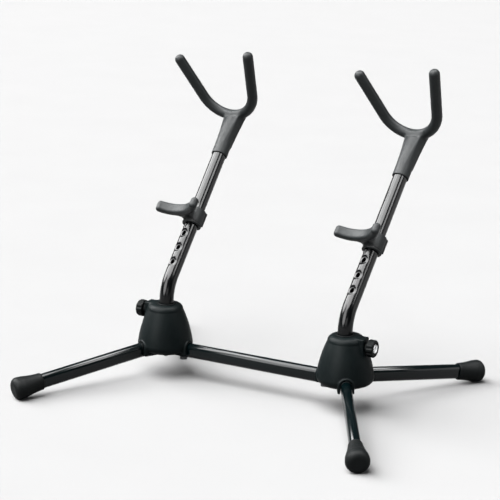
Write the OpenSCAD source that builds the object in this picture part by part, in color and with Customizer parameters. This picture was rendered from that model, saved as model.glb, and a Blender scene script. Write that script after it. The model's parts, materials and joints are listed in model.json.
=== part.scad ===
// Double saxophone stand: two folding bases on one cross bar, each with a bent
// stem that carries a sliding lower cradle and a fixed upper yoke.
// +X runs along the cross bar, +Y is the way the stems lean, +Z is up.
// The origin is on the floor, midway between the hubs.

/* [Base] */
// Distance between the two hub axes
hub_spacing = 276; // [240:1:340]
// Height of the cross bar's axis
bar_z = 39.5; // [38:0.5:41]
// Angle between each leg and the line of the bar
leg_splay = 60; // [50:1:65]
// Distance from the hub axis to a foot's contact point
foot_reach = 222; // [190:1:260]
// Height of the leg axis above the foot's contact point
foot_axis_z = 15.1; // [14.8:0.1:15.4]
// Distance from the hub axis to a leg's pivot pin
pivot_r = 30; // [29:0.5:31]
// Height of the leg's pivot pin
pivot_z = 41.5; // [40:0.5:43]
// Width of the flat-oval leg and bar tube
oval_w = 14; // [13:0.5:15]
// Height of the flat-oval leg and bar tube
oval_h = 20.5; // [18:0.5:21]
// Wall of the leg and bar tube
oval_wall = 1.5; // [1:0.1:2]

/* [Hub] */
// Height of the hub's flat top
hub_top = 102; // [98:1:106]
// Height of the hub's lower edge
hub_low = 38; // [37:0.5:38.5]
// Largest radius of the hub's skirt
skirt_r = 38.6; // [38:0.1:41]
// Radius at the shoulder, just under the top
shoulder_r = 25; // [23:0.5:26]
// Height of the clamp knob's axis
knob_z = 89.3; // [86:0.1:90]
// Diameter of the clamp knob
knob_d = 23.5; // [20:0.5:26]
// Number of flutes round the knob
knob_flutes = 10; // [6:1:16]

/* [Stem] */
// Outer diameter of the stem tube
stem_d = 20; // [19.5:0.1:20]
// Wall of the stem tube
stem_wall = 2; // [1.5:0.1:2.5]
// Angle of the stem from the vertical
lean = 43; // [38:0.5:46]
// Radius of the stem's bend, at the tube's axis
bend_r = 50; // [40:1:52]
// Height where the vertical and the leaning axis meet
corner_z = 124.5; // [123:0.5:132]
// Swivel of the left stem about its hub's axis, towards +X
left_swivel = -1.5; // [-4:0.5:4]
// Swivel of the right stem about its hub's axis, towards +X
right_swivel = 2; // [-4:0.5:4]
// Turn of the height holes about the stem's axis
face_turn = 15; // [0:1:25]
// Distance from the corner to the lowest height hole
hole_first = 37.5; // [36:0.5:45]
// Pitch of the height holes
hole_pitch = 23.5; // [20:0.5:26]
// Number of height holes
hole_count = 5; // [4:1:6]
// Diameter of the height holes
hole_d = 10; // [8:0.5:11]

/* [Cradle] */
// Hole that the latch sits in, counted from 0 at the lowest
cradle_hole = 3; // [0:1:4]
// Turn of the crescent about the stem's axis
cradle_turn = 20; // [0:1:25]
// Outer diameter of the sliding collar
collar_d = 27; // [26:0.5:30]
// Length of the sliding collar
collar_h = 22; // [20:1:26]
// Distance from the stem's axis to the middle of the crescent
crescent_reach = 24.3; // [23:0.1:27]
// Radius of the crescent, at its middle line
crescent_r = 48.6; // [42:0.1:60]
// Half of the angle that the crescent covers
crescent_half = 44; // [35:1:50]
// Thickness of the crescent
crescent_t = 11; // [9:0.5:12]
// Height of the crescent, along the stem
crescent_h = 16; // [14:0.5:18]

/* [Yoke] */
// Distance from the corner to the yoke's lower edge
socket_s = 221; // [210:1:240]
// Distance from the corner to the middle of the yoke's bend
yoke_s = 292.7; // [285:0.1:305]
// Depth of the yoke's socket
socket_depth = 45; // [38:1:48]
// Outer diameter of the yoke's socket
socket_d = 23.4; // [23:0.1:25]
// Angle from the stem's axis forward to the yoke's arms
yoke_tilt = 68; // [55:1:72]
// Turn of the yoke about the stem's axis
yoke_turn = 10; // [0:1:25]
// Radius of the yoke's bend, at its middle line
yoke_r = 44.8; // [40:0.1:50]
// Outward angle of each yoke arm
arm_spread = 15; // [10:0.5:20]
// Length of each straight arm up to its round tip
arm_len = 65.5; // [50:0.5:70]
// Diameter of the rubber-covered arms
arm_d = 15; // [14:0.5:16]

/* [Hidden] */
left = -1;
right = 1;
front = -1;
rear = 1;
$fn = 64;

gap = 0.4;              // clearance round a moving leg
fit = 0.05;             // clearance between pieces that are fixed together
far = 80;               // reach of a cutting solid
bend_thin = 0.05;       // radius lost where a rod is bent
joint_lap = 0.5;        // overlap of a straight length and a bend

// Hub
wall = 3;               // moulded wall
skirt_z = 46;           // height of the largest radius
shoulder_z = 94;        // height where the top starts to round over
top_flat_r = 16;        // flat ring round the stem
edge_r = 34;            // radius of the lower edge
bell_bow = 1.9;         // how far the bell swells past a straight cone
bell_steps = 12;
round_steps = 5;
fork_w = 22;            // width of a leg fork over both cheeks
fork_in = 15.5;         // where a fork starts, from the hub axis
leg_rim = 39.8;         // where a leg fork's rim ends
bar_rim = 37.6;         // where the bar fork's rim ends
fork_low = 32.5;        // lower edge of a fork
fork_top = 62;          // top of a fork, inside the bell
rim_arch_z = 42.5;      // centre of a rim's arch
bore_d = 26;            // bore for the stem bush and the seat cup
post_r = 16.5;          // radius of the tube that holds them
seat_low = 41;          // underside of the seat cup
seat_top = 60;          // top edge of the seat cup
seat_floor = 46;        // where the stem stands
bush_low = 61;          // lower edge of the stem bush
bush_lip = 1.2;         // bush standing above the hub
boss_end = 31;          // end of the clamp boss, from the hub axis
boss_half = 9;          // half its width
boss_low = 74;          // its lower end
plate_z = [36, 39];     // base plate, underside and top
plate_r = 31.5;
foot_boss_r = 16.5;     // round boss under the base plate
foot_boss_low = 33;
pillar_r = 25;          // circle of the base plate's screws
bell_turns = [60, -60, 180];   // directions of the front leg, rear leg and bar forks
pillar_turns = [0, 120, -120];
rest_s = 28;            // bar screw, from the hub axis
bar_end = 18;           // end of the bar, from the hub axis

// Clamp
insert_d = 13;
insert_from = 19.5;
shoe_d = 12.4;
shoe_end = 16;
screw_d = 8;
knob_in = 34.5;
knob_out = 44.5;
badge_t = 0.8;

// Leg, measured outward from the pivot pin along the leg
leg_tilt = atan((pivot_z - foot_axis_z) / (foot_reach - pivot_r));
leg_contact = (foot_reach - pivot_r) / cos(leg_tilt);
tube_from = 11;         // start of the leg tube
tube_to = leg_contact + 3;
cap_from = leg_contact - 31;
cap_to = leg_contact + 11;
pin_d = 6;

// Stem
stem_r = stem_d / 2;
bend_len = bend_r * tan(lean / 2);
bend_low = corner_z - bend_len;
tube_end = socket_s + socket_depth;
latch_s = hole_first + cradle_hole * hole_pitch;
collar_low = latch_s - 3;
crescent_low = latch_s - 3;

// Yoke
core_d = 9;
core_neck = 10;

// ---- Shared shapes ----

// Places a child at a hub; the left hub is the right one mirrored
module at_hub(side) {
    translate([side * hub_spacing / 2, 0, 0])
        mirror([side < 0 ? 1 : 0, 0, 0])
            children();
}

// Child frame at a leg's pivot: x runs down the leg, y is the pin's axis
module at_leg(side, end) {
    at_hub(side)
        rotate([0, 0, end * leg_splay])
            translate([pivot_r, 0, pivot_z])
                rotate([0, leg_tilt, 0])
                    children();
}

function swivel(side) = side < 0 ? left_swivel : right_swivel;

// Child frame on the leaning stem: z runs up the stem, -y faces the front
module on_stem(side, s, turn = face_turn) {
    translate([side * hub_spacing / 2, 0, 0])
        rotate([0, 0, -swivel(side)])
            translate([0, 0, corner_z])
                rotate([-lean, 0, 0])
                    rotate([0, 0, -turn])
                        translate([0, 0, s])
                            children();
}

// Child frame in the yoke's plane: z runs up between the arms, x across them
module on_yoke(side) {
    on_stem(side, yoke_s, yoke_turn)
        rotate([yoke_tilt, 0, 0])
            children();
}

// Flat-oval outline, with its height along y
module oval(w, h) {
    straight = h - w;
    square([w, straight], center = true);
    for (end = [-1, 1])
        translate([0, end * straight / 2])
            circle(d = w);
}

// Flat-oval bar along +x from x0 to x1
module oval_bar(w, h, x0, x1) {
    translate([x0, 0, 0])
        rotate([90, 0, 90])
            linear_extrude(x1 - x0)
                oval(w, h);
}

// Full-round wheel about y, whose rim matches the oval outline
module oval_wheel(w, h) {
    straight = h - w;
    rotate([90, 0, 0])
        rotate_extrude()
            intersection() {
                rotate([0, 0, 90])
                    oval(w, h);
                translate([0, -w])
                    square([h, 2 * w]);
            }
}

// Bell outline, radius against height
function bell_u(z) = (z - skirt_z) / (shoulder_z - skirt_z);
function bell_r(z) =
    skirt_r + (shoulder_r - skirt_r) * bell_u(z) + bell_bow * 4 * bell_u(z) * (1 - bell_u(z));
lower_edge = [
    for (i = [0:round_steps])
        let (a = 90 * i / round_steps)
        [edge_r + (skirt_r - edge_r) * sin(a), skirt_z - (skirt_z - hub_low) * cos(a)]
];
bell_side = [
    for (i = [1:bell_steps - 1])
        let (z = skirt_z + (shoulder_z - skirt_z) * i / bell_steps)
        [bell_r(z), z]
];
top_edge = [
    for (i = [0:round_steps])
        let (a = 90 * i / round_steps)
        [top_flat_r + (shoulder_r - top_flat_r) * cos(a), shoulder_z + (hub_top - shoulder_z) * sin(a)]
];

module bell() {
    rotate_extrude()
        polygon(concat([[0, hub_low]], lower_edge, bell_side, top_edge, [[0, hub_top]]));
}

// Hollow of the bell, open below
module bell_hollow() {
    ceiling = hub_top - 12;
    rotate_extrude()
        polygon([
            [0, hub_low - 1],
            [edge_r - wall + 1, hub_low - 1],
            [edge_r - wall + 1, plate_z[1]],
            [skirt_r - wall, skirt_z],
            [bell_r(58) - wall, 58],
            [bell_r(ceiling) - wall, ceiling],
            [0, ceiling]
        ]);
}

// ---- Hub ----

// Cheeks and crown that hold one leg or the bar, clear of the base plate's boss
module fork(rim) {
    difference() {
        union() {
            intersection() {
                bell();
                translate([fork_in, -fork_w / 2, fork_low])
                    cube([far, fork_w, fork_top - fork_low]);
            }
            translate([fork_in, 0, 0])
                rotate([90, 0, 90])
                    linear_extrude(rim - fork_in)
                        union() {
                            translate([0, rim_arch_z])
                                circle(d = fork_w);
                            translate([-fork_w / 2, fork_low])
                                square([fork_w, rim_arch_z - fork_low]);
                        }
        }
        cylinder(r = foot_boss_r + 0.5, h = plate_z[1] + 0.3);
    }
}

// Room for a leg at rest and all the way down
module leg_channel() {
    w = oval_w + 2 * gap;
    h = oval_h + 2 * gap;
    crown = (h - w) / 2;
    drop = tan(leg_tilt);
    reach = far - pivot_r;
    translate([pivot_r, 0, pivot_z]) {
        rotate([0, leg_tilt, 0]) {
            oval_wheel(w, h);
            oval_bar(w, h, 0, far);
        }
        rotate([90, 0, 0])
            translate([0, 0, -w / 2])
                linear_extrude(w)
                    polygon([
                        [-h / 2, -far],
                        [-h / 2, 0],
                        [0, crown],
                        [reach, crown - reach * drop],
                        [reach, -far]
                    ]);
    }
}

module bar_channel() {
    w = oval_w + 2 * fit;
    translate([0, 0, bar_z])
        oval_bar(w, oval_h + 2 * fit, bar_end - fit, far);
    translate([bar_end - fit, -w / 2, 0])
        cube([far, w, bar_z]);
}

module clamp_boss() {
    translate([0, -boss_half, boss_low])
        cube([boss_end, 2 * boss_half, hub_top - boss_low - 0.5]);
}

// A cylinder along +x at the knob's height
module knob_rod(d, x0, x1) {
    translate([x0, 0, knob_z])
        rotate([0, 90, 0])
            cylinder(d = d, h = x1 - x0);
}

// Post for a base plate screw, with a rib from the stem's housing to the bell
module screw_pillar() {
    pillar_h = 21;
    rib_t = 3;
    translate([pillar_r, 0, plate_z[1]])
        cylinder(d = 9, h = pillar_h);
    translate([post_r - 1, -rib_t / 2, plate_z[1]])
        cube([bell_r(plate_z[1] + pillar_h) - post_r - 0.5, rib_t, pillar_h]);
}

module hub_shell(side) {
    pilot_d = 3;
    color("#1c2224")
        at_hub(side)
            difference() {
                union() {
                    difference() {
                        bell();
                        bell_hollow();
                    }
                    translate([0, 0, seat_low - 1])
                        cylinder(r = post_r, h = hub_top - seat_low);
                    for (turn = bell_turns)
                        rotate([0, 0, turn])
                            fork(turn == 180 ? bar_rim : leg_rim);
                    clamp_boss();
                    for (turn = pillar_turns)
                        rotate([0, 0, turn])
                            screw_pillar();
                }
                translate([0, 0, hub_low - 1])
                    cylinder(d = bore_d, h = far);
                for (end = [front, rear])
                    rotate([0, 0, end * leg_splay]) {
                        leg_channel();
                        translate([pivot_r, 0, pivot_z])
                            rotate([90, 0, 0])
                                cylinder(d = pin_d + 0.1, h = fork_w + 6, center = true);
                    }
                rotate([0, 0, 180]) {
                    bar_channel();
                    translate([rest_s, 0, bar_z])
                        cylinder(d = 6, h = 20);
                }
                knob_rod(insert_d, bore_d / 2 - 2, far);
                for (turn = pillar_turns)
                    rotate([0, 0, turn])
                        translate([pillar_r, 0, plate_z[1] - 1])
                            cylinder(d = pilot_d, h = 15);
            }
}

module base_plate(side) {
    height = plate_z[1] - plate_z[0];
    color("#15191a")
        at_hub(side)
            difference() {
                union() {
                    translate([0, 0, foot_boss_low])
                        cylinder(r = foot_boss_r, h = plate_z[1] - foot_boss_low);
                    difference() {
                        translate([0, 0, plate_z[0]])
                            cylinder(r = plate_r, h = height);
                        for (turn = bell_turns)
                            rotate([0, 0, turn])
                                translate([0, -fork_w / 2 - 0.3, plate_z[0] - 1])
                                    cube([far, fork_w + 0.6, height + 2]);
                    }
                }
                rotate([0, 0, 180])
                    bar_channel();
                translate([0, 0, foot_boss_low - 1])
                    cylinder(d = 24, h = 4);
                for (turn = pillar_turns)
                    rotate([0, 0, turn])
                        translate([pillar_r, 0, plate_z[0] - 1])
                            cylinder(d = 3.4, h = height + 2);
            }
}

// Pan-head screw pointing up, with its head's underside at z = 0
module screw(d, len, head_d, head_h) {
    difference() {
        union() {
            cylinder(d = d, h = len);
            translate([0, 0, -head_h])
                cylinder(d = head_d, h = head_h);
        }
        for (turn = [0, 90])
            rotate([0, 0, turn])
                translate([-head_d / 4, -0.6, -head_h - 1])
                    cube([head_d / 2, 1.2, 2.2]);
    }
}

module base_screws(side) {
    color("silver")
        at_hub(side)
            for (turn = pillar_turns)
                rotate([0, 0, turn])
                    translate([pillar_r, 0, plate_z[0]])
                        screw(2.9, 14, 6.5, 2.2);
}

module bar_screw(side) {
    color("silver")
        at_hub(side)
            rotate([0, 0, 180])
                translate([rest_s, 0, bar_z - oval_h / 2])
                    screw(5.9, 29, 11, 3.5);
}

module stem_bush(side) {
    color("#101314")
        at_hub(side)
            difference() {
                union() {
                    translate([0, 0, bush_low])
                        cylinder(d = bore_d - 2 * fit, h = hub_top - bush_low);
                    translate([0, 0, hub_top])
                        cylinder(d = bore_d + 1.4, h = bush_lip);
                }
                translate([0, 0, bush_low - 1])
                    cylinder(d = stem_d + 0.16, h = far);
                knob_rod(insert_d + 0.2, 0, far);
            }
}

module seat_cup(side) {
    color("#101314")
        at_hub(side)
            difference() {
                translate([0, 0, seat_low])
                    cylinder(d = bore_d - 0.16, h = seat_top - seat_low);
                translate([0, 0, seat_floor])
                    cylinder(d = stem_d + 0.16, h = seat_top);
            }
}

// ---- Clamp ----

module threaded_insert(side) {
    color("goldenrod")
        at_hub(side)
            difference() {
                knob_rod(insert_d - 2 * fit, insert_from, boss_end);
                knob_rod(screw_d + 0.16, 0, far);
            }
}

module clamp_shoe(side) {
    color("#d8d8d0")
        at_hub(side)
            difference() {
                knob_rod(shoe_d, 0, shoe_end);
                cylinder(r = stem_r + 0.08, h = far * 2);
            }
}

module clamp_screw(side) {
    color("silver")
        at_hub(side)
            knob_rod(screw_d, shoe_end, knob_in + 8);
}

module clamp_knob(side) {
    flute_d = 4;
    color("#17191a")
        at_hub(side)
            difference() {
                union() {
                    knob_rod(14, boss_end + 0.5, knob_in);
                    knob_rod(knob_d, knob_in, knob_out - 2);
                    translate([knob_out - 2, 0, knob_z])
                        rotate([0, 90, 0])
                            cylinder(d1 = knob_d, d2 = knob_d - 4, h = 2);
                }
                for (i = [0:knob_flutes - 1])
                    translate([0, 0, knob_z])
                        rotate([(i + 0.5) * 360 / knob_flutes, 0, 0])
                            translate([knob_in - 1, 0, knob_d / 2 + 1])
                                rotate([0, 90, 0])
                                    cylinder(d = flute_d, h = 20);
                knob_rod(screw_d + 2 * fit, 0, knob_in + 8);
                knob_rod(12.2, knob_out - badge_t, far);
            }
}

module knob_badge(side) {
    color("silver")
        at_hub(side)
            knob_rod(12, knob_out - badge_t, knob_out + 0.3);
}

// ---- Stem ----

// The stem's path as a solid rod of radius r, from the seat to tube_end.
// Bending thins the rod a little, so the straight lengths overlap the bend.
module stem_path(r) {
    translate([0, 0, seat_floor])
        cylinder(r = r, h = bend_low + joint_lap - seat_floor);
    translate([0, bend_r, bend_low])
        rotate([90, 0, -90])
            rotate_extrude(angle = lean)
                translate([bend_r, 0])
                    circle(r = r - bend_thin);
    translate([0, 0, corner_z])
        rotate([-lean, 0, 0])
            translate([0, 0, bend_len - joint_lap])
                cylinder(r = r, h = tube_end - bend_len + joint_lap);
}

module stem_tube(side) {
    color("#0d0f10")
        difference() {
            translate([side * hub_spacing / 2, 0, 0])
                rotate([0, 0, -swivel(side)])
                    difference() {
                        stem_path(stem_r);
                        stem_path(stem_r - stem_wall);
                    }
            for (i = [0:hole_count - 1])
                on_stem(side, hole_first + i * hole_pitch)
                    rotate([90, 0, 0])
                        cylinder(d = hole_d, h = 2 * stem_r);
        }
}

module stem_plug(side) {
    plug_len = 12;
    color("#202324")
        translate([side * hub_spacing / 2, 0, seat_floor])
            cylinder(r = stem_r - stem_wall - fit, h = plug_len);
}

// ---- Cradle ----

module crescent() {
    translate([0, -crescent_reach - crescent_r, crescent_low]) {
        rotate([0, 0, 90 - crescent_half])
            rotate_extrude(angle = 2 * crescent_half)
                translate([crescent_r - crescent_t / 2, 0])
                    square([crescent_t, crescent_h]);
        for (end = [-1, 1])
            rotate([0, 0, 90 + end * crescent_half])
                translate([crescent_r, 0, 0])
                    cylinder(d = crescent_t, h = crescent_h);
    }
}

module cradle(side) {
    neck_w = 18;
    neck_in = 1;
    lip_h = 3;
    flange_w = 22;
    pocket_w = 8.8;
    color("#2a2e30")
        difference() {
            on_stem(side, 0, cradle_turn) {
                crescent();
                translate([0, 0, collar_low])
                    cylinder(d = collar_d, h = collar_h);
                translate([0, 0, collar_low - lip_h])
                    cylinder(d = collar_d + 1, h = lip_h);
                translate([-neck_w / 2, -crescent_reach, crescent_low + neck_in])
                    cube([neck_w, crescent_reach, crescent_h - 2 * neck_in]);
                translate([-flange_w / 2, 2, collar_low])
                    cube([flange_w, 10, collar_h]);
            }
            on_stem(side, 0) {
                translate([0, 0, -far])
                    cylinder(d = stem_d + 0.16, h = 4 * far);
                translate([-pocket_w / 2, -stem_r - 2.6, collar_low - lip_h - 1])
                    cube([pocket_w, stem_r, collar_h]);
                translate([0, 0, latch_s + 11])
                    rotate([90, 0, 0])
                        cylinder(d = 3.1, h = stem_r + 7);
            }
        }
}

// Leaf spring with a stud that drops into a height hole
module latch_spring(side) {
    leaf_w = 8;
    leaf_t = 1;
    stud_d = 7;
    leaf_y = -stem_r - 2.5;
    color("silver")
        on_stem(side, latch_s)
            difference() {
                union() {
                    translate([-leaf_w / 2, leaf_y, -5])
                        cube([leaf_w, leaf_t, 19.5]);
                    translate([0, leaf_y + leaf_t, 0])
                        rotate([-90, 0, 0])
                            cylinder(d = stud_d, h = 3.5);
                }
                translate([0, 0, 11])
                    rotate([90, 0, 0])
                        cylinder(d = 3.1, h = stem_r + 7);
            }
}

module latch_rivet(side) {
    color("silver")
        on_stem(side, latch_s + 11)
            rotate([90, 0, 0]) {
                translate([0, 0, stem_r + 0.4])
                    cylinder(d = 3, h = 6);
                translate([0, 0, stem_r + 0.4])
                    cylinder(d = 5.5, h = 1);
            }
}

// ---- Yoke ----

// Rod of diameter d along the yoke's bend and arms, with round tips
module yoke_rod(d, short = 0) {
    half = 90 - arm_spread;
    translate([0, 0, yoke_r])
        rotate([90, 0, 0])
            rotate([0, 0, -90 - half])
                rotate_extrude(angle = 2 * half)
                    translate([yoke_r, 0])
                        circle(r = d / 2 - bend_thin);
    for (end = [-1, 1])
        translate([0, 0, yoke_r])
            rotate([0, end * arm_spread, 0])
                translate([end * yoke_r, 0, -joint_lap]) {
                    cylinder(d = d, h = arm_len - short + joint_lap);
                    translate([0, 0, arm_len - short + joint_lap])
                        sphere(d = d);
                }
}

// Steel inside the yoke: the bent rod, its shank and the plug in the stem
module core_shape(side, extra) {
    on_yoke(side)
        yoke_rod(core_d + 2 * extra, 4);
    on_stem(side, tube_end)
        cylinder(d = core_neck + 2 * extra, h = yoke_s - tube_end);
}

module yoke_core(side) {
    plug_len = 30;
    color("silver") {
        core_shape(side, 0);
        on_stem(side, tube_end - plug_len)
            cylinder(r = stem_r - stem_wall - fit, h = plug_len);
    }
}

module yoke_sleeve(side) {
    web_from = 240;
    web_low_w = 18;
    web_top_w = 34;
    web_t = 15;
    color("#2a2e30")
        difference() {
            union() {
                on_yoke(side)
                    yoke_rod(arm_d);
                on_stem(side, socket_s)
                    cylinder(d = socket_d, h = yoke_s - socket_s - 6);
                on_stem(side, 0, yoke_turn)
                    translate([0, web_t / 2, 0])
                        rotate([90, 0, 0])
                            linear_extrude(web_t)
                                polygon([
                                    [-web_low_w / 2, web_from],
                                    [web_low_w / 2, web_from],
                                    [web_top_w / 2, yoke_s],
                                    [-web_top_w / 2, yoke_s]
                                ]);
            }
            on_stem(side, socket_s - 1)
                cylinder(d = stem_d + 2 * fit, h = socket_depth + 1);
            core_shape(side, fit);
        }
}

// ---- Cross bar and legs ----

module cross_bar() {
    bar_half = hub_spacing / 2 - bar_end;
    color("#0c1a1b")
        difference() {
            translate([0, 0, bar_z])
                difference() {
                    oval_bar(oval_w, oval_h, -bar_half, bar_half);
                    oval_bar(oval_w - 2 * oval_wall, oval_h - 2 * oval_wall, -far * 2, far * 2);
                }
            for (side = [left, right])
                translate([side * (hub_spacing / 2 - rest_s), 0, 0])
                    cylinder(d = 6.2, h = far);
        }
}

module leg_tube(side, end) {
    color("#0c1a1b")
        at_leg(side, end)
            difference() {
                oval_bar(oval_w, oval_h, tube_from, tube_to);
                oval_bar(oval_w - 2 * oval_wall, oval_h - 2 * oval_wall, 0, tube_to + 1);
            }
}

module pivot_block(side, end) {
    plug_len = 25;
    color("#15191a")
        at_leg(side, end)
            difference() {
                union() {
                    oval_wheel(oval_w, oval_h);
                    oval_bar(oval_w, oval_h, 0, tube_from);
                    oval_bar(oval_w - 2 * oval_wall - 2 * fit, oval_h - 2 * oval_wall - 2 * fit,
                        tube_from, tube_from + plug_len);
                }
                rotate([90, 0, 0])
                    cylinder(d = pin_d + 0.1, h = far, center = true);
            }
}

module pivot_pin(side, end) {
    color("silver")
        at_leg(side, end)
            rotate([90, 0, 0])
                cylinder(d = pin_d, h = fork_w, center = true);
}

// Rubber cap: an oval neck, a flare and a round bulb with a flat on the floor
module foot(side, end) {
    neck_w = oval_w + 3;
    neck_h = oval_h + 3;
    flare_from = leg_contact - 22;
    bulb_r = 15.5;
    color("#17191a")
        difference() {
            at_leg(side, end)
                difference() {
                    union() {
                        oval_bar(neck_w, neck_h, cap_from, leg_contact - 8);
                        rotate([0, 90, 0])
                            rotate_extrude()
                                polygon([
                                    [0, flare_from],
                                    [9, flare_from],
                                    [bulb_r - 1.2, leg_contact - 8],
                                    [bulb_r, leg_contact - 3],
                                    [bulb_r, leg_contact + 4],
                                    [bulb_r - 1.2, leg_contact + 8],
                                    [bulb_r - 4.5, cap_to],
                                    [0, cap_to]
                                ]);
                    }
                    oval_bar(oval_w + 2 * fit, oval_h + 2 * fit, cap_from - 1, tube_to);
                }
            translate([0, 0, -far])
                cube([8 * far, 8 * far, 2 * far], center = true);
        }
}

// ---- Selection ----

hub_shell(left);  // left_hub_shell
base_plate(left);  // left_base_plate
base_screws(left);  // left_base_screws
stem_bush(left);  // left_stem_bush
seat_cup(left);  // left_seat_cup
threaded_insert(left);  // left_threaded_insert
clamp_knob(left);  // left_clamp_knob
knob_badge(left);  // left_knob_badge
clamp_screw(left);  // left_clamp_screw
clamp_shoe(left);  // left_clamp_shoe
bar_screw(left);  // left_bar_screw
stem_tube(left);  // left_stem_tube
stem_plug(left);  // left_stem_plug
cradle(left);  // left_cradle
latch_spring(left);  // left_latch_spring
latch_rivet(left);  // left_latch_rivet
yoke_core(left);  // left_yoke_core
yoke_sleeve(left);  // left_yoke_sleeve
hub_shell(right);  // right_hub_shell
base_plate(right);  // right_base_plate
base_screws(right);  // right_base_screws
stem_bush(right);  // right_stem_bush
seat_cup(right);  // right_seat_cup
threaded_insert(right);  // right_threaded_insert
clamp_knob(right);  // right_clamp_knob
knob_badge(right);  // right_knob_badge
clamp_screw(right);  // right_clamp_screw
clamp_shoe(right);  // right_clamp_shoe
bar_screw(right);  // right_bar_screw
stem_tube(right);  // right_stem_tube
stem_plug(right);  // right_stem_plug
cradle(right);  // right_cradle
latch_spring(right);  // right_latch_spring
latch_rivet(right);  // right_latch_rivet
yoke_core(right);  // right_yoke_core
yoke_sleeve(right);  // right_yoke_sleeve
cross_bar();
leg_tube(left, front);  // left_front_leg_tube
pivot_block(left, front);  // left_front_pivot_block
pivot_pin(left, front);  // left_front_pivot_pin
foot(left, front);  // left_front_foot
leg_tube(left, rear);  // left_rear_leg_tube
pivot_block(left, rear);  // left_rear_pivot_block
pivot_pin(left, rear);  // left_rear_pivot_pin
foot(left, rear);  // left_rear_foot
leg_tube(right, front);  // right_front_leg_tube
pivot_block(right, front);  // right_front_pivot_block
pivot_pin(right, front);  // right_front_pivot_pin
foot(right, front);  // right_front_foot
leg_tube(right, rear);  // right_rear_leg_tube
pivot_block(right, rear);  // right_rear_pivot_block
pivot_pin(right, rear);  // right_rear_pivot_pin
foot(right, rear);  // right_rear_foot
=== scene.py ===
"""Looks for the double saxophone stand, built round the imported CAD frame.

Shapes are described in millimetres in the same local frames as the CAD part, and
put in place by a matrix that also turns them into metres. Moulded and rubber
pieces are distance fields that are turned into meshes, and tubes are swept grids.
"""

import json
import math

import bmesh
import bpy
import numpy as np
from mathutils import Matrix, Vector


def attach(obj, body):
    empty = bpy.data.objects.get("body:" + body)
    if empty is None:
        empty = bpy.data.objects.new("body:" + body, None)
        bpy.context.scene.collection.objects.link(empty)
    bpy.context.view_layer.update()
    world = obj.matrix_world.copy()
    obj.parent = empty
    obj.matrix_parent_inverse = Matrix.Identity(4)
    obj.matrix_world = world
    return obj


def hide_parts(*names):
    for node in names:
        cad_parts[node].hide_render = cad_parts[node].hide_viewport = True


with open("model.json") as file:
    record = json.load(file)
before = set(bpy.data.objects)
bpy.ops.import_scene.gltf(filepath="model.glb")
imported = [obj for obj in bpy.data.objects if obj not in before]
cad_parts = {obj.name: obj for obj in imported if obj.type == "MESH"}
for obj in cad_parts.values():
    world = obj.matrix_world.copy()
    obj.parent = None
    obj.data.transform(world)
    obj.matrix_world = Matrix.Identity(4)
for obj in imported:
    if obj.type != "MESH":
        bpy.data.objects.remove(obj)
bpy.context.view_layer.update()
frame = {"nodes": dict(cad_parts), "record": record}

# ---- Sizes, in millimetres and degrees ----

MM = 0.001
SIDES = {"left": -1, "right": 1}
ENDS = {"front": -1, "rear": 1}


def joint(name):
    return next(j for j in frame["record"]["behaviour"]["joints"] if j["name"] == name)


HUB_X = joint("right_stem_swivel")["pos_m"][0] / MM
LEAN = math.degrees(math.acos(joint("right_cradle_slide")["axis"][2]))
SWIVEL = {
    side: math.degrees(math.atan2(*joint(f"{name}_cradle_slide")["axis"][:2]))
    for name, side in SIDES.items()
}
PIVOT = [v / MM for v in joint("right_rear_leg_fold")["pos_m"]]
PIVOT_R = math.hypot(PIVOT[0] - HUB_X, PIVOT[1])
PIVOT_Z = PIVOT[2]
KNOB_Z = joint("right_knob_turn")["pos_m"][2] / MM
LEG_SPLAY = 60
FOOT_REACH = 222
FOOT_AXIS_Z = 15.1
LEG_TILT = math.degrees(math.atan2(PIVOT_Z - FOOT_AXIS_Z, FOOT_REACH - PIVOT_R))
LEG_CONTACT = (FOOT_REACH - PIVOT_R) / math.cos(math.radians(LEG_TILT))
BAR_Z = 39.5
OVAL_W, OVAL_H, OVAL_WALL = 14, 20.5, 1.5

HUB_TOP = 102
STEM_R, STEM_WALL = 10, 2
SEAT_FLOOR = 46
BEND_R = 50
CORNER_Z = 124.5
BEND_LEN = BEND_R * math.tan(math.radians(LEAN / 2))
BEND_LOW = CORNER_Z - BEND_LEN
BEND_ARC = BEND_R * math.radians(LEAN)
BEND_START = BEND_LEN - BEND_ARC
TUBE_END = 266
FACE_TURN, CRADLE_TURN, YOKE_TURN = 15, 20, 10
HOLE_FIRST, HOLE_PITCH, HOLE_COUNT = 37.5, 23.5, 5
LATCH_S = HOLE_FIRST + 3 * HOLE_PITCH
YOKE_S, YOKE_TILT = 292.7, 68
SOCKET_S = 221

# ---- Frames: each matrix takes local millimetres to the row's metres ----


def turn(angle, axis):
    return Matrix.Rotation(math.radians(angle), 4, axis)


def shift(x, y, z):
    return Matrix.Translation((x, y, z))


SCALE = Matrix.Scale(MM, 4)


def hub_frame(side):
    """The hub's axis is z, and x runs outward; the left hub is the mirror image."""
    flip = Matrix.Scale(-1, 4, Vector((1, 0, 0))) if side < 0 else Matrix.Identity(4)
    return SCALE @ shift(side * HUB_X, 0, 0) @ flip


def leg_frame(side, end):
    """x runs down the leg from its pivot, and y is the pivot's axis."""
    return hub_frame(side) @ turn(end * LEG_SPLAY, "Z") @ shift(PIVOT_R, 0, PIVOT_Z) @ turn(LEG_TILT, "Y")


def stem_frame(side, twist):
    """z runs up the leaning stem from its corner, and -y faces the front."""
    base = SCALE @ shift(side * HUB_X, 0, 0) @ turn(-SWIVEL[side], "Z")
    return base @ shift(0, 0, CORNER_Z) @ turn(-LEAN, "X") @ turn(-twist, "Z")


# ---- Distance fields, in millimetres: negative inside ----


def blend_min(a, b, radius):
    """Union of two fields with a fillet of about that radius."""
    h = np.clip(0.5 + 0.5 * (b - a) / radius, 0, 1)
    return b + (a - b) * h - radius * h * (1 - h)


def blend_max(a, b, radius):
    return -blend_min(-a, -b, radius)


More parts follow.
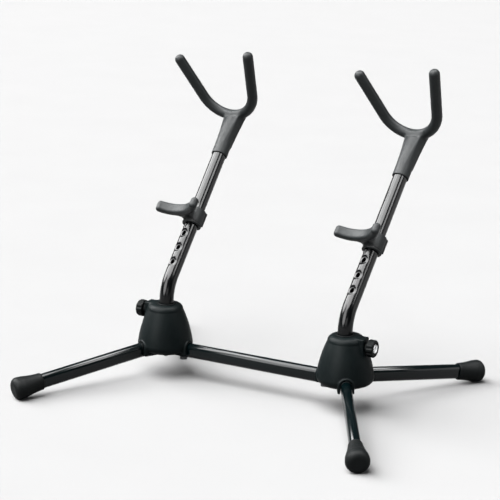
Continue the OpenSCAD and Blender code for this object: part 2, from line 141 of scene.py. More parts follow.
def cut(field, hole, radius=0.6):
    """Takes hole out of field and rounds the edge that this leaves."""
    return blend_max(field, -hole, radius)


def box_field(x, y, z, half, rounding):
    qx, qy, qz = (np.abs(v) - h + rounding for v, h in zip((x, y, z), half))
    outer = np.sqrt(np.maximum(qx, 0) ** 2 + np.maximum(qy, 0) ** 2 + np.maximum(qz, 0) ** 2)
    return outer + np.minimum(np.maximum(qx, np.maximum(qy, qz)), 0) - rounding


def disc_field(r, z, radius, low, high, rounding=0.0):
    """A cylinder, from its radial and axial coordinates."""
    qr = r - radius + rounding
    qz = np.abs(z - (low + high) / 2) - (high - low) / 2 + rounding
    return np.hypot(np.maximum(qr, 0), np.maximum(qz, 0)) + np.minimum(np.maximum(qr, qz), 0) - rounding


def outline_field(u, v, points):
    """Distance to a closed outline in the u, v plane, negative inside."""
    best = np.full(u.shape, np.inf, np.float32)
    inside = np.zeros(u.shape, bool)
    for (u0, v0), (u1, v1) in zip(points, points[1:] + points[:1]):
        du, dv = u1 - u0, v1 - v0
        t = np.clip(((u - u0) * du + (v - v0) * dv) / (du * du + dv * dv), 0, 1)
        best = np.minimum(best, (u - u0 - t * du) ** 2 + (v - v0 - t * dv) ** 2)
        if dv != 0:
            inside ^= ((v0 > v) != (v1 > v)) & (u < u0 + (v - v0) * du / dv)
    return np.where(inside, -1, 1) * np.sqrt(best)


def capsule_field(x, y, z, start, finish, radius):
    sx, sy, sz = start
    dx, dy, dz = (b - a for a, b in zip(start, finish))
    t = np.clip(((x - sx) * dx + (y - sy) * dy + (z - sz) * dz) / (dx * dx + dy * dy + dz * dz), 0, 1)
    return np.sqrt((x - sx - t * dx) ** 2 + (y - sy - t * dy) ** 2 + (z - sz - t * dz) ** 2) - radius


def oval_field(y, z, width, height):
    """Flat-oval section, with its height along z."""
    return np.hypot(y, np.maximum(np.abs(z) - (height - width) / 2, 0)) - width / 2


def turned(u, v, angle):
    """The coordinates u, v in a frame that is turned by that many degrees."""
    c, s = math.cos(math.radians(angle)), math.sin(math.radians(angle))
    return u * c + v * s, v * c - u * s


# ---- Meshes from fields ----


def crossings(value, cell, low):
    """Surface nets: one point in each cell that the surface passes through, and the quads that join them."""
    shape = tuple(n - 1 for n in value.shape)
    total = np.zeros((*shape, 3))
    hits = np.zeros(shape)
    edges = []
    for axis in range(3):
        b, c = (axis + 1) % 3, (axis + 2) % 3
        start = value.take(range(value.shape[axis] - 1), axis)
        stop = value.take(range(1, value.shape[axis]), axis)
        crossed = (start < 0) != (stop < 0)
        share = np.where(crossed, start / np.where(crossed, start - stop, 1), 0)
        for db in (0, 1):
            for dc in (0, 1):
                window = [slice(None)] * 3
                window[b] = slice(db, db + shape[b])
                window[c] = slice(dc, dc + shape[c])
                mask = crossed[tuple(window)]
                hits += mask
                total[..., axis] += share[tuple(window)]
                total[..., b] += db * mask
                total[..., c] += dc * mask
        edges.append((axis, b, c, start, crossed))
    used = hits > 0
    number = np.full(shape, -1)
    number[used] = np.arange(used.sum())
    cells = np.argwhere(used)
    points = np.asarray(low) + cell * (cells + total[used] / hits[used][:, None])
    quads = []
    for axis, b, c, start, crossed in edges:
        at = np.argwhere(crossed)
        step_b, step_c = np.eye(3, dtype=int)[b], np.eye(3, dtype=int)[c]
        ring = [at - step_b - step_c, at - step_c, at, at - step_b]
        quad = np.stack([number[tuple(p.T)] for p in ring], 1)
        outward = start[tuple(at.T)] < 0
        quads.append(np.where(outward[:, None], quad, quad[:, ::-1]))
    return points, np.concatenate(quads)


def settle(points, quads, field, cell):
    """Evens the quads out, then moves each point onto the surface."""
    reach = 0.2 * cell
    count = np.bincount(quads.ravel(), minlength=len(points))[:, None]
    for _ in range(3):
        centre = points[quads].mean(1)
        moved = [np.bincount(quads.ravel(), np.repeat(centre[:, i], 4), len(points)) for i in range(3)]
        points = np.stack(moved, 1) / count
        for _ in range(2):
            here = field(*points.T)
            slope = []
            for axis in np.eye(3) * reach:
                slope.append((field(*(points + axis).T) - field(*(points - axis).T)) / (2 * reach))
            slope = np.stack(slope, 1)
            step = here[:, None] * slope / np.maximum((slope**2).sum(1, keepdims=True), 0.05)
            points = points - np.clip(step, -cell / 2, cell / 2)
    return points


def field_mesh(field, low, high, cell):
    """Points and quads of the surface field(x, y, z) = 0 inside a box."""
    axes = [np.arange(a, b + cell, cell) for a, b in zip(low, high)]
    value = field(*np.meshgrid(*axes, indexing="ij"))
    points, quads = crossings(value, cell, low)
    return settle(points, quads, field, cell), quads


# ---- Blender objects ----


def place(name, mesh, matrix, body, stands_for, finish, sharp=None):
    """A new piece from points and faces in a local frame. It rides on body and stands for CAD nodes."""
    points, faces = mesh
    data = bpy.data.meshes.new(name)
    data.from_pydata([tuple(p) for p in points], [], [tuple(f) for f in faces])
    data.transform(matrix)
    shell = bmesh.new()
    shell.from_mesh(data)
    if matrix.determinant() < 0:
        bmesh.ops.reverse_faces(shell, faces=shell.faces)
    if sharp is not None:
        for edge in shell.edges:
            edge.smooth = edge.calc_face_angle(0) < math.radians(sharp)
    for face in shell.faces:
        face.smooth = True
    shell.to_mesh(data)
    shell.free()
    piece = bpy.data.objects.new(name, data)
    bpy.context.scene.collection.objects.link(piece)
    data.materials.append(FINISHES[finish])
    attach(piece, body)
    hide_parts(*stands_for)


def grid_faces(rows, columns):
    """Quads over a grid of points that is stored row after row and closes on itself both ways."""
    faces = []
    for i in range(rows):
        for j in range(columns):
            here, over = i * columns, ((i + 1) % rows) * columns
            k = (j + 1) % columns
            faces.append((here + j, here + k, over + k, over + j))
    return faces


def lathe(outline, steps, spin_axis="Z"):
    """A closed outline of (radius, height) points, spun round z or, with "X", round x."""
    points = []
    for i in range(steps):
        a = 2 * math.pi * i / steps
        for r, h in outline:
            if spin_axis == "Z":
                points.append((r * math.cos(a), r * math.sin(a), h))
            else:
                points.append((h, r * math.cos(a), r * math.sin(a)))
    return points, [f[::-1] for f in grid_faces(steps, len(outline))]


def arc(cx, cy, radius, start, finish, steps):
    """Points of an arc, angles in degrees."""
    out = []
    for i in range(steps + 1):
        a = math.radians(start + (finish - start) * i / steps)
        out.append((cx + radius * math.cos(a), cy + radius * math.sin(a)))
    return out


# ---- Materials ----


def node_material(name, colour, roughness, metallic=0.0, specular=0.5):
    material = bpy.data.materials.new(name)
    material.use_nodes = True
    shader = material.node_tree.nodes["Principled BSDF"]
    shader.inputs["Base Color"].default_value = (*colour, 1)
    shader.inputs["Roughness"].default_value = roughness
    shader.inputs["Metallic"].default_value = metallic
    shader.inputs["Specular IOR Level"].default_value = specular
    return material


def noise(material, scale, detail=3.0, stretch=(1, 1, 1)):
    """A noise texture in the object's own space; scale is in features a metre."""
    nodes, links = material.node_tree.nodes, material.node_tree.links
    where = nodes.new("ShaderNodeTexCoord")
    spread = nodes.new("ShaderNodeMapping")
    spread.inputs["Scale"].default_value = stretch
    texture = nodes.new("ShaderNodeTexNoise")
    texture.inputs["Scale"].default_value = scale
    texture.inputs["Detail"].default_value = detail
    links.new(where.outputs["Object"], spread.inputs["Vector"])
    links.new(spread.outputs["Vector"], texture.inputs["Vector"])
    return texture.outputs["Fac"]


def vary(material, source, socket, low, high):
    """Drives a shader socket between two values, or two colours, by a noise."""
    nodes, links = material.node_tree.nodes, material.node_tree.links
    ramp = nodes.new("ShaderNodeValToRGB")
    ramp.color_ramp.elements[0].position = 0.3
    ramp.color_ramp.elements[1].position = 0.7
    pair = [(v, v, v) if isinstance(v, float) else v for v in (low, high)]
    ramp.color_ramp.elements[0].color = (*pair[0], 1)
    ramp.color_ramp.elements[1].color = (*pair[1], 1)
    links.new(source, ramp.inputs["Fac"])
    links.new(ramp.outputs["Color"], nodes["Principled BSDF"].inputs[socket])


def relief(material, source, height):
    """Bump from a noise; height is in metres."""
    nodes, links = material.node_tree.nodes, material.node_tree.links
    bump = nodes.new("ShaderNodeBump")
    bump.inputs["Strength"].default_value = 0.6
    bump.inputs["Distance"].default_value = height
    links.new(source, bump.inputs["Height"])
    links.new(bump.outputs["Normal"], nodes["Principled BSDF"].inputs["Normal"])


def moulded_plastic(name, dark, light, roughness, grain=2600):
    material = node_material(name, dark, roughness, specular=0.045)
    vary(material, noise(material, 45), "Base Color", dark, light)
    vary(material, noise(material, 160), "Roughness", roughness - 0.05, roughness + 0.06)
    relief(material, noise(material, grain, 2), 0.00005)
    return material


def soft_rubber(name, dark, light, roughness, specular=0.17):
    material = node_material(name, dark, roughness, specular=specular)
    vary(material, noise(material, 60, 4), "Base Color", dark, light)
    vary(material, noise(material, 220), "Roughness", roughness - 0.06, roughness + 0.08)
    relief(material, noise(material, 1800, 5), 0.00008)
    return material


def gloss_paint(name, dark, light, roughness):
    """Enamel over steel: nearly flat colour, a faint orange peel and a hard gloss."""
    material = node_material(name, dark, roughness, specular=0.2)
    vary(material, noise(material, 30), "Base Color", dark, light)
    vary(material, noise(material, 90), "Roughness", roughness - 0.02, roughness + 0.03)
    relief(material, noise(material, 420, 1), 0.000012)
    return material


def bare_metal(name, dark, light, roughness, stretch=(1, 1, 1)):
    material = node_material(name, dark, roughness, metallic=1.0)
    vary(material, noise(material, 300, 4, stretch), "Base Color", dark, light)
    vary(material, noise(material, 900, 3, stretch), "Roughness", roughness - 0.08, roughness + 0.1)
    relief(material, noise(material, 3000, 2, stretch), 0.00002)
    return material


FINISHES = {
    "hub_plastic": moulded_plastic(
        "hub_plastic", (0.0012, 0.0024, 0.0026), (0.0018, 0.0033, 0.0035), 0.45),
    "inner_plastic": moulded_plastic(
        "inner_plastic", (0.0012, 0.0018, 0.0019), (0.0018, 0.0025, 0.0026), 0.5),
    "knob_plastic": moulded_plastic(
        "knob_plastic", (0.0010, 0.0015, 0.0016), (0.0016, 0.0022, 0.0023), 0.46, 3600),
    "nylon": moulded_plastic("nylon", (0.70, 0.69, 0.65), (0.76, 0.75, 0.71), 0.45),
    "stem_paint": gloss_paint("stem_paint", (0.0004, 0.0006, 0.0008), (0.0006, 0.0008, 0.0010), 0.17),
    "leg_paint": gloss_paint("leg_paint", (0.0002, 0.0014, 0.0017), (0.0003, 0.0018, 0.0021), 0.16),
    "zinc_steel": bare_metal("zinc_steel", (0.040, 0.042, 0.044), (0.060, 0.062, 0.064), 0.34),
    "spring_steel": bare_metal("spring_steel", (0.44, 0.45, 0.47), (0.58, 0.59, 0.60), 0.28, (1, 1, 4)),
    "brass_insert": bare_metal("brass_insert", (0.60, 0.44, 0.18), (0.74, 0.57, 0.26), 0.28),
    "badge_metal": bare_metal("badge_metal", (0.70, 0.71, 0.72), (0.80, 0.81, 0.82), 0.22),
    "soft_rubber": soft_rubber("soft_rubber", (0.0040, 0.0055, 0.0060), (0.0055, 0.0070, 0.0075), 0.50),
    "foot_rubber": soft_rubber(
        "foot_rubber", (0.0009, 0.0015, 0.0016), (0.0014, 0.0021, 0.0022), 0.55, 0.07),
}


def dress_cad_nodes():
    """Gives each CAD node the finish of its own slot, whether or not it ends up showing."""
    for entry in frame["record"]["subparts"]:
        data = frame["nodes"][entry["node"]].data
        data.materials.clear()
        data.materials.append(FINISHES[entry["material_slot"]])


# ---- Hub ----

SKIRT_R, SKIRT_Z, HUB_LOW, EDGE_R = 38.6, 46, 38, 34
SHOULDER_R, SHOULDER_Z, TOP_FLAT_R = 25, 94, 16
BELL_BOW, BELL_SHIFT = 1.9, 1.8
WALL = 3
POST_R, BORE_R, SEAT_LOW = 16.5, 13, 41
FORK_HALF, FORK_IN, FORK_LOW, RIM_ARCH_Z = 11, 15.5, 32.5, 42.5
LEG_RIM, BAR_RIM = 39.8, 37.6
BOSS_END, BOSS_HALF, BOSS_LOW, BOSS_TOP = 31, 9, 74, HUB_TOP - 0.4
CEILING = HUB_TOP - 12
BUSH_LOW = 61
BAR_END = 18  # from the hub's axis to the end of the cross bar
LEG_GAP, BAR_GAP = 0.4, 0.15


def bell_outline():
    """Outside of the bell, radius against height, from the floor up."""
    steps = 24
    side = []
    for i in range(1, steps):
        u = i / steps
        side.append((
            SKIRT_R + (SHOULDER_R - SKIRT_R) * u + BELL_BOW * 4 * u * (1 - u),
            SKIRT_Z + (SHOULDER_Z - SKIRT_Z) * u,
        ))
    low = [(EDGE_R + (SKIRT_R - EDGE_R) * c, SKIRT_Z + (SKIRT_Z - HUB_LOW) * s)
           for c, s in arc(0, 0, 1, -90, 0, 10)]
    top = [(TOP_FLAT_R + (SHOULDER_R - TOP_FLAT_R) * c, SHOULDER_Z + (HUB_TOP - SHOULDER_Z) * s)
           for c, s in arc(0, 0, 1, 0, 90, 10)]
    return [(-60, HUB_LOW), *low, *side, *top, (-60, HUB_TOP)]


BELL = bell_outline()


def channel_field(x, y, z, start, width, height):
    """Room for a bar along x that can also swing down: its section, open below."""
    arch = np.where(z > 0, oval_field(y, z, width, height), np.abs(y) - width / 2)
    return np.maximum(arch, start - x)


def fork_field(u, v, z, rim_out):
    """Arched block at the end of the hub's room for a leg or the bar, which runs along u."""
    section = np.where(z > RIM_ARCH_Z, np.hypot(v, z - RIM_ARCH_Z), np.abs(v)) - FORK_HALF
    section = np.maximum(section, FORK_LOW - z)
    length = np.abs(u - (FORK_IN + rim_out) / 2) - (rim_out - FORK_IN) / 2
    return blend_max(section, length, 1.6)


def leg_room(u, v, z):
    """The leg's own channel, the disc that its rounded end sweeps, and the opening below the pivot."""
    along, up = turned(u - PIVOT_R, z - PIVOT_Z, -LEG_TILT)
    wide, tall = OVAL_W + 2 * LEG_GAP, OVAL_H + 2 * LEG_GAP
    room = channel_field(along, v, up, 0, wide, tall)
    wheel = np.maximum(np.hypot(along, up) - tall / 2, np.abs(v) - wide / 2)
    below = np.maximum(np.abs(v) - wide / 2, np.maximum(-along - tall / 2, up))
    return np.minimum(room, np.minimum(wheel, below))


def hub_field(x, y, z):
    """Hollow bell with a clamp boss, a post round the stem, and a fork for each leg and for the bar."""
    r = np.hypot(x, y)
    from_bell = np.hypot(x - BELL_SHIFT, y)
    bell = outline_field(from_bell, z, BELL)
    hollow = np.maximum(bell + WALL, z - CEILING)
    hollow = np.minimum(hollow, np.maximum(from_bell - (EDGE_R - WALL + 1), z - SKIRT_Z))
    solid = cut(bell, hollow, 0.5)
    boss = box_field(x - BOSS_END / 2, y, z - (BOSS_LOW + BOSS_TOP) / 2,
                     (BOSS_END / 2, BOSS_HALF, (BOSS_TOP - BOSS_LOW) / 2), 1.6)
    solid = blend_min(solid, boss, 2.5)
    solid = np.minimum(solid, disc_field(r, z, POST_R, SEAT_LOW - 1, HUB_TOP - 2))
    for angle, rim_out in ((LEG_SPLAY, LEG_RIM), (-LEG_SPLAY, LEG_RIM), (180, BAR_RIM)):
        u, v = turned(x, y, angle)
        solid = blend_min(solid, fork_field(u, v, z, rim_out), 1.4)
    solid = cut(solid, disc_field(r, z, BORE_R, HUB_LOW - 5, HUB_TOP + 5), 0.5)
    for angle in (LEG_SPLAY, -LEG_SPLAY):
        u, v = turned(x, y, angle)
        solid = cut(solid, leg_room(u, v, z), 0.9)
    u, v = turned(x, y, 180)
    wide, tall = OVAL_W + 2 * BAR_GAP, OVAL_H + 2 * BAR_GAP
    return cut(solid, channel_field(u, v, z - BAR_Z, BAR_END, wide, tall), 0.9)


def bush_outline():
    """The lip of the stem's bush, standing on the hub's top, and its bore."""
    inner, outer, lip = STEM_R + 0.12, BORE_R + 0.7, 1.2
    return [
        (inner + 0.5, HUB_TOP + lip), *arc(outer - 0.6, HUB_TOP + lip - 0.6, 0.6, 90, 0, 4),
        (outer, HUB_TOP + 0.05), (BORE_R - 0.05, HUB_TOP + 0.05), (BORE_R - 0.05, BUSH_LOW),
        (inner, BUSH_LOW), (inner, HUB_TOP + lip - 0.5),
    ]


def build_hubs():
    mesh = field_mesh(hub_field, (-44, -44, 30), (46, 44, 105), cell=0.8)
    bush = lathe(bush_outline(), 96)
    for name, side in SIDES.items():
        place(f"{name}_hub", mesh, hub_frame(side), "base",
              [f"{name}_hub_shell"], "hub_plastic")
        place(f"{name}_bush", bush, hub_frame(side), "base",
              [f"{name}_stem_bush"], "inner_plastic", sharp=40)


# ---- Clamp knob ----

KNOB_IN, KNOB_OUT, KNOB_R = 34.5, 44.5, 11.75
NECK_R, INSERT_R = 7, 4.1
FLUTES, FLUTE_R = 10, 2.1


def knob_field(x, y, z):
    """Fluted knob on its neck; x is its axis."""
    r = np.hypot(y, z)
    body = disc_field(r, x, KNOB_R, KNOB_IN, KNOB_OUT, 2.0)
    face = disc_field(r, x, KNOB_R - 3.4, KNOB_OUT - 0.7, KNOB_OUT + 5)
    solid = cut(body, face, 0.5)
    pitch = 2 * math.pi / FLUTES
    near = np.mod(np.arctan2(z, y), pitch) - pitch / 2
    flute = np.hypot(r * np.sin(near), r * np.cos(near) - KNOB_R - 1.0) - FLUTE_R
    solid = cut(solid, np.maximum(flute, KNOB_IN + 1.2 - x), 0.7)
    solid = blend_min(solid, disc_field(r, x, NECK_R, BOSS_END + 0.5, KNOB_IN + 1, 0.4), 0.8)
    return cut(solid, disc_field(r, x, INSERT_R, 20, KNOB_IN + 8), 0.3)


def ring_outline():
    """A plain ring with a dished middle, radius against the knob's axis."""
    base = KNOB_OUT - 0.75
    return [
        (0.01, base + 0.55), (3.2, base + 0.5), (3.8, base + 0.75), (4.2, base + 0.95),
        (5.4, base + 0.95), (5.9, base + 0.6), (6.0, base), (0.01, base),
    ]


def build_knobs():
    knob = field_mesh(knob_field, (28, -14, -14), (48, 14, 14), cell=0.4)
    ring = lathe(ring_outline(), 64, spin_axis="X")
    for name, side in SIDES.items():
        where = hub_frame(side) @ shift(0, 0, KNOB_Z)
        place(f"{name}_knob_grip", knob, where, f"{name}_knob",
              [f"{name}_clamp_knob"], "knob_plastic")
        place(f"{name}_knob_ring", ring, where, f"{name}_knob",
              [f"{name}_knob_badge"], "badge_metal", sharp=35)


# ---- Stem ----

DISH_R, DISH_DEPTH, HOLE_R = 8.2, 1.5, 4.2
BLOCK_HALF = 52  # degrees of wall to each side of a hole that the rings round it take up
BLOCK_STEPS, BACK_STEPS, DISH_STEPS = 20, 44, 10
LOW_STEPS, BEND_STEPS, TOP_STEPS = 6, 22, 10


def stem_point(s, angle, radius):
    """A point on the stem: s from the corner along the straight, angle from the front."""
    a = math.radians(angle)
    out = Vector((radius * math.sin(a), -radius * math.cos(a), 0))
    out = turn(-FACE_TURN, "Z") @ out
    if s >= BEND_LEN:
        return shift(0, 0, CORNER_Z) @ turn(-LEAN, "X") @ (out + Vector((0, 0, s)))
    back = BEND_LEN - s
    if back >= BEND_ARC:
        return out + Vector((0, 0, BEND_LOW - (back - BEND_ARC)))
    angle_here = math.degrees((BEND_ARC - back) / BEND_R)
    return shift(0, BEND_R, BEND_LOW) @ turn(-angle_here, "X") @ (out + Vector((0, -BEND_R, 0)))


def dish(u, v):
    """How far the wall is pressed in, at u round the tube and v along it from a hole's centre."""
    t = min(max((DISH_R - math.hypot(u, v)) / (DISH_R - HOLE_R), 0), 1)
    return DISH_DEPTH * t * t * (3 - 2 * t)


def ring_angles():
    """Angles of a plain ring: even steps across the front block, then round the back."""
    front_part = [BLOCK_HALF * (2 * i / BLOCK_STEPS - 1) for i in range(BLOCK_STEPS)]
    back_part = [BLOCK_HALF + (360 - 2 * BLOCK_HALF) * i / BACK_STEPS for i in range(BACK_STEPS)]
    return front_part + back_part


def block_edge():
    """Even steps round the square that spans -1 to 1 both ways, from its lower left corner."""
    line = [2 * i / BLOCK_STEPS - 1 for i in range(BLOCK_STEPS)]
    first = [(t, -1) for t in line] + [(1, t) for t in line]
    return first + [(-p, -q) for p, q in first]


def stem_skin(radius):
    """Points and faces of one skin of the pierced tube, with the rims of its holes and its two ends."""
    points, faces, seen = [], [], {}
    per_angle = STEM_R * math.radians(1)
    angles = ring_angles()
    half = HOLE_PITCH / 2
    block_low = HOLE_FIRST - half
    block_high = HOLE_FIRST + HOLE_PITCH * (HOLE_COUNT - 0.5)
    straight_low = BEND_START - (BEND_LOW - SEAT_FLOOR)

    def vertex(s, angle, depth=0.0):
        key = (round(s, 4), round(angle, 4) % 360)
        if key not in seen:
            seen[key] = len(points)
            points.append(tuple(stem_point(s, angle, radius - depth)))
        return seen[key]

    def band(s0, s1, columns):
        for a0, a1 in columns:
            faces.append((vertex(s0, a0), vertex(s0, a1), vertex(s1, a1), vertex(s1, a0)))

    around = list(zip(angles, angles[1:] + [angles[0] + 360]))
    back = around[BLOCK_STEPS:]
    stops = [straight_low + (BEND_START - straight_low) * i / LOW_STEPS for i in range(LOW_STEPS)]
    stops += [BEND_LEN - BEND_ARC * (1 - i / BEND_STEPS) for i in range(BEND_STEPS)]
    stops += [BEND_LEN, block_low]
    for s0, s1 in zip(stops, stops[1:]):
        band(s0, s1, around)
    upper = [block_high + (TUBE_END - block_high) * i / TOP_STEPS for i in range(TOP_STEPS + 1)]
    for s0, s1 in zip(upper, upper[1:]):
        band(s0, s1, around)
    rims = []
    for hole in range(HOLE_COUNT):
        centre = HOLE_FIRST + hole * HOLE_PITCH
        rows = [centre - half + HOLE_PITCH * i / BLOCK_STEPS for i in range(BLOCK_STEPS + 1)]
        for s0, s1 in zip(rows, rows[1:]):
            band(s0, s1, back)
        loops = []
        for k in range(DISH_STEPS + 1):
            share = (k / DISH_STEPS) ** 0.8
            loop = []
            for p, q in block_edge():
                u0, v0 = p * BLOCK_HALF * per_angle, q * half
                long = math.hypot(u0, v0)
                u1, v1 = u0 / long * HOLE_R, v0 / long * HOLE_R
                u, v = u0 + (u1 - u0) * share, v0 + (v1 - v0) * share
                loop.append(vertex(centre + v, u / per_angle, dish(u, v)))
            loops.append(loop)
        for outer, inner in zip(loops, loops[1:]):
            for i in range(len(outer)):
                j = (i + 1) % len(outer)
                faces.append((outer[i], outer[j], inner[j], inner[i]))
        rims.append(loops[-1])
    low_end = [vertex(straight_low, a) for a in angles]
    high_end = [vertex(TUBE_END, a) for a in angles]
    return points, faces, rims, low_end, high_end


def stem_mesh():
    """The outer and inner skins, joined round each hole and at both ends."""
    points, faces, rims, low_end, high_end = stem_skin(STEM_R)
    more, inner_faces, inner_rims, inner_low, inner_high = stem_skin(STEM_R - STEM_WALL)
    base = len(points)
    points = points + more
    faces = faces + [tuple(base + i for i in f[::-1]) for f in inner_faces]

    def bridge(outer, inner, flip):
        for i in range(len(outer)):
            j = (i + 1) % len(outer)
            face = (outer[i], outer[j], base + inner[j], base + inner[i])
            faces.append(face[::-1] if flip else face)

    for outer, inner in zip(rims, inner_rims):
        bridge(outer, inner, False)
    bridge(low_end, inner_low, True)
    bridge(high_end, inner_high, False)
    return points, faces


def build_stems():
    mesh = stem_mesh()
    for name, side in SIDES.items():
        where = SCALE @ shift(side * HUB_X, 0, 0) @ turn(-SWIVEL[side], "Z")
        place(f"{name}_stem_pierced", mesh, where,
              f"{name}_stem", [f"{name}_stem_tube"], "stem_paint", sharp=50)


# ---- Yoke ----

YOKE_R, ARM_SPREAD, ARM_LEN, ARM_R = 44.8, 15, 65.5, 7.5
SOCKET_R, SOCKET_DEPTH = 11.7, 45
WEB_FROM, WEB_NOMINAL, WEB_DEEP = 238, 14, 8


def yoke_field(x, y, z):
    """Rubber yoke in the stem's frame: two arms, their bend, a flat-fronted web and a socket."""
    normal, up = turned(y, z - YOKE_S, YOKE_TILT)
    over = up - YOKE_R
    angle = np.arctan2(np.abs(x), -over)
    limit = math.radians(90 - ARM_SPREAD)
    bend = np.hypot(np.hypot(x, over) - YOKE_R, normal) - ARM_R
    side = math.radians(ARM_SPREAD)
    foot = (YOKE_R * math.cos(side), -YOKE_R * math.sin(side))
    tip = (foot[0] + ARM_LEN * math.sin(side), foot[1] + ARM_LEN * math.cos(side))
    arms = capsule_field(np.abs(x), over, normal, (*foot, 0), (*tip, 0), ARM_R)
    rod = np.where(angle <= limit, bend, arms)
    r = np.hypot(x, y)
    socket = disc_field(r, z, SOCKET_R, SOCKET_S, YOKE_S - 10, 0.9)
    rise = np.clip((z - WEB_FROM) / (YOKE_S - WEB_FROM), 0, 1)
    half_front = 7 + 6.5 * rise
    half_back = half_front + 2.5
    slope = np.clip((y + WEB_DEEP) / (2 * WEB_DEEP), 0, 1)
    half = half_front + (half_back - half_front) * np.sqrt(slope)
    middle = (WEB_FROM + YOKE_S) / 2
    web_half = (WEB_NOMINAL, WEB_DEEP, (YOKE_S - WEB_FROM) / 2)
    web = box_field(x * WEB_NOMINAL / half, y, z - middle, web_half, 2.2)
    solid = blend_min(socket, web, 3.5)
    solid = blend_min(solid, rod, 4.5)
    return cut(solid, disc_field(r, z, STEM_R + 0.1, SOCKET_S - 5, SOCKET_S + SOCKET_DEPTH), 0.5)


def build_yokes():
    mesh = field_mesh(yoke_field, (-72, -106, 220), (72, 16, 350), cell=0.9)
    for name, side in SIDES.items():
        place(f"{name}_yoke", mesh, stem_frame(side, YOKE_TURN),
              f"{name}_stem", [f"{name}_yoke_sleeve"], "soft_rubber")


# ---- Cradle ----

COLLAR_R, COLLAR_H, COLLAR_LOW = 13.5, 22, LATCH_S - 3
CRESCENT_REACH, CRESCENT_R, CRESCENT_HALF = 24.3, 48.6, 44
CRESCENT_T, CRESCENT_H, CRESCENT_EDGE = 11, 16, 4.2


def cradle_field(x, y, z):
    """Rubber crescent on a neck, and the collar that slides on the stem."""
    v = y + CRESCENT_REACH + CRESCENT_R
    limit = math.radians(CRESCENT_HALF)
    angle = np.arctan2(np.abs(x), v)
    ring = np.abs(np.hypot(x, v) - CRESCENT_R)
    tip = np.hypot(np.abs(x) - CRESCENT_R * math.sin(limit), v - CRESCENT_R * math.cos(limit))
    off = np.where(angle <= limit, ring, tip)
    tall = z - (COLLAR_LOW + CRESCENT_H / 2)
    qa = off - CRESCENT_T / 2 + CRESCENT_EDGE
    qb = np.abs(tall) - CRESCENT_H / 2 + CRESCENT_EDGE
    outer = np.hypot(np.maximum(qa, 0), np.maximum(qb, 0))
    crescent = outer + np.minimum(np.maximum(qa, qb), 0) - CRESCENT_EDGE
    neck = box_field(x, y + CRESCENT_REACH / 2, tall, (9, CRESCENT_REACH / 2, CRESCENT_H / 2 - 1), 3.5)
    r = np.hypot(x, y)
    high = COLLAR_LOW + COLLAR_H
    collar = disc_field(r, z, COLLAR_R, COLLAR_LOW, high, 0.8)
    rear = box_field(x, y - 7, z - (COLLAR_LOW + high) / 2, (11, 5, COLLAR_H / 2), 1.2)
    lip = disc_field(r, z, COLLAR_R + 0.5, COLLAR_LOW - 3, COLLAR_LOW - 0.6, 0.9)
    solid = blend_min(crescent, neck, 4.0)
    solid = blend_min(solid, collar, 2.0)
    solid = blend_min(solid, rear, 0.8)
    solid = blend_min(solid, disc_field(r, z, COLLAR_R - 0.6, COLLAR_LOW - 2, COLLAR_LOW + 4), 0.6)
    solid = blend_min(solid, lip, 0.6)
    return cut(solid, disc_field(r, z, STEM_R + 0.25, COLLAR_LOW - 20, high + 20), 0.6)


def build_cradles():
    mesh = field_mesh(cradle_field, (-42, -46, 98), (42, 16, 131), cell=0.6)
    for name, side in SIDES.items():
        place(f"{name}_crescent", mesh, stem_frame(side, CRADLE_TURN),
              f"{name}_slider", [f"{name}_cradle"], "soft_rubber")


# ---- Legs, bar and feet ----


def oval_ring(width, height):
    """Flat-oval outline as (y, z) points."""
    rise, steps = (height - width) / 2, 14
    return arc(0, rise, width / 2, 0, 180, steps) + arc(0, -rise, width / 2, 180, 360, steps)


def oval_tube(x0, x1):
    """A flat-oval tube along x, with its wall and small rounded ends."""
    chamfer = 0.4
    wide, tall = OVAL_W, OVAL_H
    inner_w, inner_h = wide - 2 * OVAL_WALL, tall - 2 * OVAL_WALL
    sections = [
        (x0 + chamfer, wide, tall), (x1 - chamfer, wide, tall),
        (x1, wide - chamfer, tall - chamfer), (x1, inner_w, inner_h),
        (x0, inner_w, inner_h), (x0, wide - chamfer, tall - chamfer),
    ]
    points = []
    for x, w, h in sections:
        points += [(x, y, z) for y, z in oval_ring(w, h)]
    per = len(oval_ring(wide, tall))
    return points, [f[::-1] for f in grid_faces(len(sections), per)]


LEG_START, LEG_END = 11, LEG_CONTACT + 3
CAP_FROM, CAP_NECK_TO, CAP_TO = -31, -4, 11  # along the leg, from the point over its floor contact
BULB_R = 15.5


def foot_field(x, y, z):
    """Rubber cap in the leg's frame: an oval neck that flares into a round bulb with a flat."""
    s = x - LEG_CONTACT
    middle, half = (CAP_FROM + CAP_NECK_TO) / 2, (CAP_NECK_TO - CAP_FROM) / 2
    neck = blend_max(oval_field(y, z, OVAL_W + 3.4, OVAL_H + 3.2), np.abs(s - middle) - half, 1.5)
    outline = [(-30, -30), (8.5, -30), (BULB_R - 0.6, CAP_NECK_TO), *arc(BULB_R - 8, 3, 8, 0, 90, 12)]
    outline.append((-30, CAP_TO))
    bulb = outline_field(np.hypot(y, z), s, outline)
    solid = blend_min(neck, bulb, 4.0)
    solid = cut(solid, np.maximum(oval_field(y, z, OVAL_W + 0.3, OVAL_H + 0.3), s - 3), 0.4)
    tilt = math.radians(LEG_TILT)
    height = FOOT_AXIS_Z - s * math.sin(tilt) + z * math.cos(tilt)
    return blend_max(solid, -height, 0.5)


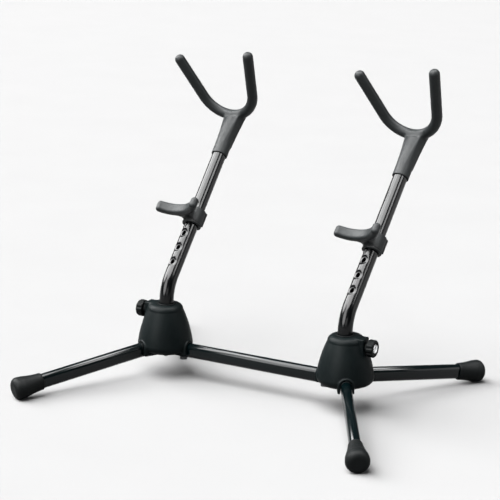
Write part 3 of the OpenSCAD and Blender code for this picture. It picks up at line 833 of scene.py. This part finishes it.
def build_base():
    leg = oval_tube(LEG_START, LEG_END)
    ends = (LEG_CONTACT + CAP_FROM - 2, LEG_CONTACT + CAP_TO + 2)
    foot = field_mesh(foot_field, (ends[0], -18, -18), (ends[1], 18, 18), cell=0.6)
    for side_name, side in SIDES.items():
        for end_name, end in ENDS.items():
            where = leg_frame(side, end)
            name = f"{side_name}_{end_name}"
            place(f"{name}_leg_bar", leg, where, f"{name}_leg",
                  [f"{name}_leg_tube"], "leg_paint", sharp=40)
            place(f"{name}_foot_cap", foot, where, f"{name}_leg",
                  [f"{name}_foot"], "foot_rubber")
    half = HUB_X - BAR_END
    bar = oval_tube(-half, half)
    place("cross_bar_tube", bar, SCALE @ shift(0, 0, BAR_Z), "base",
          ["cross_bar"], "leg_paint", sharp=40)


# ---- Stage, lights and camera ----


def build_floor():
    dark, light = (0.15, 0.15, 0.15), (0.153, 0.153, 0.153)
    floor = node_material("floor_paper", dark, 0.9, specular=0.1)
    vary(floor, noise(floor, 6), "Base Color", dark, light)
    bpy.ops.mesh.primitive_plane_add(size=40, location=(0, 6, -0.0003))
    plane = bpy.context.object
    plane.name = "floor"
    plane.data.materials.append(floor)


def softbox(name, centre, target, width, height, radiance):
    """A rectangular light that faces target; radiance is what a mirror of it would show."""
    data = bpy.data.lights.new(name, "AREA")
    data.shape = "RECTANGLE"
    data.size, data.size_y = width, height
    data.energy = math.pi * width * height * radiance
    light = bpy.data.objects.new(name, data)
    light.location = centre
    light.rotation_euler = (Vector(target) - Vector(centre)).to_track_quat("-Z", "Y").to_euler()
    bpy.context.scene.collection.objects.link(light)


def overhead(name, direction, spread, radiance, sheen_only=False):
    """A distant round diffuser that fills spread degrees of the sky.

    With sheen_only it makes highlights on glossy surfaces and adds nothing to the diffuse light.
    """
    data = bpy.data.lights.new(name, "SUN")
    data.angle = math.radians(spread)
    data.energy = math.pi * math.sin(math.radians(spread / 2)) ** 2 * radiance
    light = bpy.data.objects.new(name, data)
    light.rotation_euler = (-Vector(direction)).to_track_quat("-Z", "Y").to_euler()
    light.visible_diffuse = not sheen_only
    bpy.context.scene.collection.objects.link(light)


def build_lights():
    world = bpy.data.worlds.new("studio")
    world.use_nodes = True
    world.node_tree.nodes["Background"].inputs["Color"].default_value = (0.95, 0.98, 1.0, 1)
    world.node_tree.nodes["Background"].inputs["Strength"].default_value = 0.10
    bpy.context.scene.world = world
    middle = (0, 0.05, 0.2)
    overhead("key_high", (-0.12, -0.33, 0.93), 50, 20)
    overhead("key_left", (-0.75, -0.05, 0.66), 50, 20)
    overhead("rear_high", (0.178, 0.282, 0.943), 26, 30, sheen_only=True)
    overhead("rear_side", (0.685, 0.024, 0.729), 24, 20, sheen_only=True)
    overhead("front_low", (-0.30, -0.84, 0.42), 42, 12, sheen_only=True)
    softbox("right_panel", (2.6, 1.2, 0.7), middle, 2.2, 1.2, 2.0)
    softbox("front_fill", (1.4, -2.6, 0.75), middle, 1.6, 0.9, 2.4)


def build_camera():
    """The viewpoint: 2.1 m in front and to the right, looking slightly down with a long lens."""
    azimuth, elevation, roll = 28.89, 14.42, 0.77
    position = (1.0078, -1.8618, 0.7529)
    data = bpy.data.cameras.new("camera")
    data.sensor_width = 36
    data.lens = 117.37
    data.shift_x, data.shift_y = 0.0167, -0.0156
    camera = bpy.data.objects.new("camera", data)
    facing = turn(azimuth, "Z") @ turn(90 - elevation, "X") @ turn(roll, "Z")
    camera.matrix_world = shift(*position) @ facing
    bpy.context.scene.collection.objects.link(camera)
    bpy.context.scene.camera = camera


build_camera()
dress_cad_nodes()
build_hubs()
build_knobs()
build_stems()
build_yokes()
build_cradles()
build_base()
build_floor()
build_lights()
bpy.context.scene.view_settings.view_transform = "Standard"
